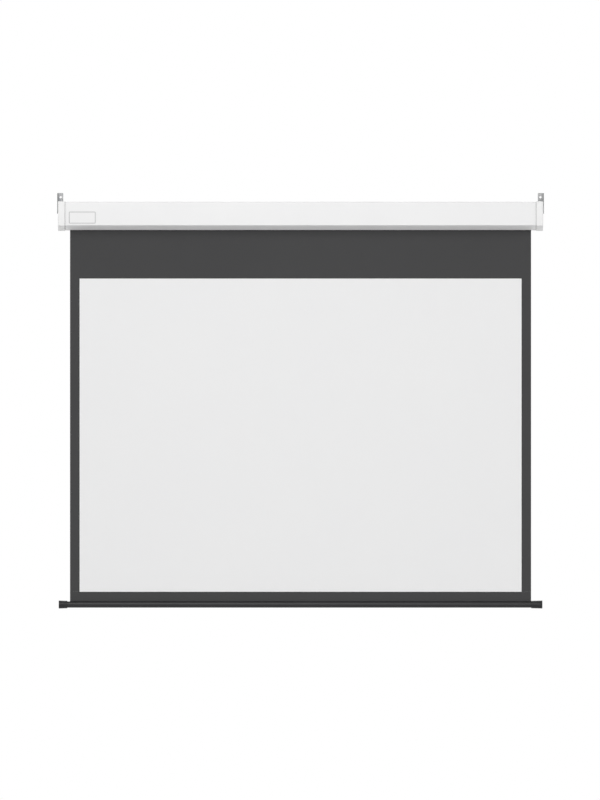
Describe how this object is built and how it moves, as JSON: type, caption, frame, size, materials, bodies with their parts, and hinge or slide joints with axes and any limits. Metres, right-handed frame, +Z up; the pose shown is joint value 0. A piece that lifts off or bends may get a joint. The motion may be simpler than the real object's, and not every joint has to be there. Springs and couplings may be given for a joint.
{
  "type": "pull down projector screen",
  "caption": "Wall-hung pull-down projector screen: white fabric with a black border, a weight bar, and a spring roller with a catch in a slim white case.",
  "frame": {"origin": "middle of the case's flat back face, which lies against the wall", "axes": "+X to the right of a viewer in front of the screen, +Y into the wall, +Z up"},
  "size_m": [1.608, 0.082, 1.3728],
  "materials": {
    "white_coat": "satin powder coat",
    "white_plastic": "fine moulded grain",
    "zinc_steel": "zinc plated",
    "bright_steel": "bright drawn",
    "mill_aluminium": "mill finish",
    "natural_nylon": "moulded",
    "black_plastic": "fine moulded grain",
    "black_metal": "satin black, drawn along its length",
    "screen_fabric": "matte white with a printed black mask and a black back",
    "roll_fabric": "matte black back of the screen fabric"
  },
  "bodies": {
    "housing": {"case_shell": "white_coat", "end_cap_left": "white_plastic", "end_cap_right": "white_plastic", "hanging_bracket_left": "zinc_steel", "hanging_bracket_right": "zinc_steel", "bracket_screw_left_upper": "zinc_steel", "bracket_screw_left_lower": "zinc_steel", "bracket_screw_right_upper": "zinc_steel", "bracket_screw_right_lower": "zinc_steel", "cap_screw_left_upper": "zinc_steel", "cap_screw_left_lower": "zinc_steel", "cap_screw_right_upper": "zinc_steel", "cap_screw_right_lower": "zinc_steel", "name_plate": "white_plastic", "idler_plate": "zinc_steel", "rod_plate": "zinc_steel", "idler_bush": "natural_nylon", "spring_rod": "bright_steel", "ratchet_collar": "bright_steel", "spring_collar": "bright_steel", "counterbalance_spring": "bright_steel", "screen_fabric": "screen_fabric"},
    "roller": {"roller_tube": "mill_aluminium", "fabric_wraps": "roll_fabric", "idler_plug": "black_plastic", "idler_pin": "bright_steel", "spring_drive_plug": "black_plastic", "pawl_carrier": "black_plastic", "pawl_pin_a": "bright_steel", "pawl_pin_b": "bright_steel"},
    "bar": {"weight_bar": "black_metal", "hem_rod": "bright_steel", "bar_cap_left": "black_plastic", "bar_cap_right": "black_plastic"},
    "pawl_a": {"pawl_a": "bright_steel"},
    "pawl_b": {"pawl_b": "bright_steel"}
  },
  "joints": [
    {"name": "screen_lift", "type": "slide", "parent": "housing", "child": "bar", "axis": [0, 0, 1], "range_m": [0, 1.2195], "deforming": ["screen_fabric"]},
    {"name": "roller_spin", "type": "hinge", "parent": "housing", "child": "roller", "pos_m": [0, -0.04858, 0.0101], "axis": [1, 0, 0], "range_deg": [0, 3240]},
    {"name": "pawl_a_swing", "type": "hinge", "parent": "roller", "child": "pawl_a", "pos_m": [0.7796, -0.03658, 0.0196], "axis": [1, 0, 0], "range_deg": [0, 15]},
    {"name": "pawl_b_swing", "type": "hinge", "parent": "roller", "child": "pawl_b", "pos_m": [0.7796, -0.06057, 0.0006], "axis": [1, 0, 0], "range_deg": [0, 15]}
  ],
  "couplings": [
    {"joint": "roller_spin", "follows": "screen_lift", "rad_per_m": 46.37}
  ]
}
